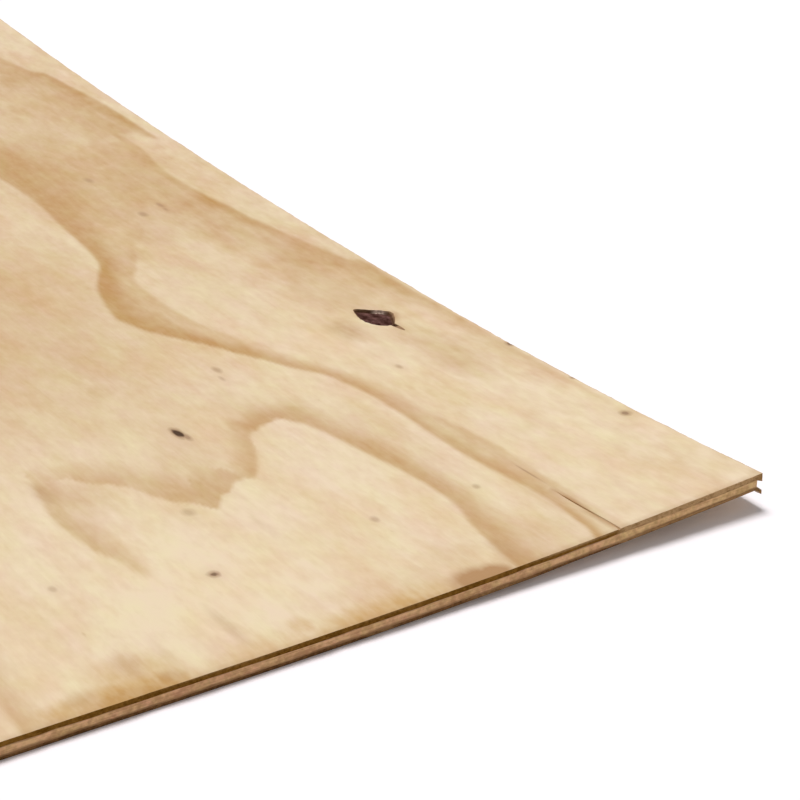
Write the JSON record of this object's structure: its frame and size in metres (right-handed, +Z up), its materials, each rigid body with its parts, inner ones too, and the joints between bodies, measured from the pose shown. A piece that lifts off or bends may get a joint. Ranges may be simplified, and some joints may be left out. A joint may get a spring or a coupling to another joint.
{
  "type": "plywood sheet",
  "caption": "Rectangular sheathing plywood sheet of cross-laid pine veneers, lightly warped with curled corners, an open knot hole and a split, for lining floors, walls and crates.",
  "frame": {"origin": "centre of the sheet's plan, on the floor that it lies on", "axes": "+Z up through the face veneer, +Y along the sheet's length and face grain, +X towards the long edge whose corners curl up"},
  "size_m": [0.6096, 1.2192, 0.0442],
  "materials": {
    "face_veneer": "bare rotary-cut pine, matt",
    "core_veneer": "bare sawn pine, long grain on the ends",
    "back_veneer": "bare rotary-cut pine, rougher"
  },
  "bodies": {
    "root": {"face_ply": "face_veneer", "core_ply": "core_veneer", "back_ply": "back_veneer"}
  },
  "joints": []
}
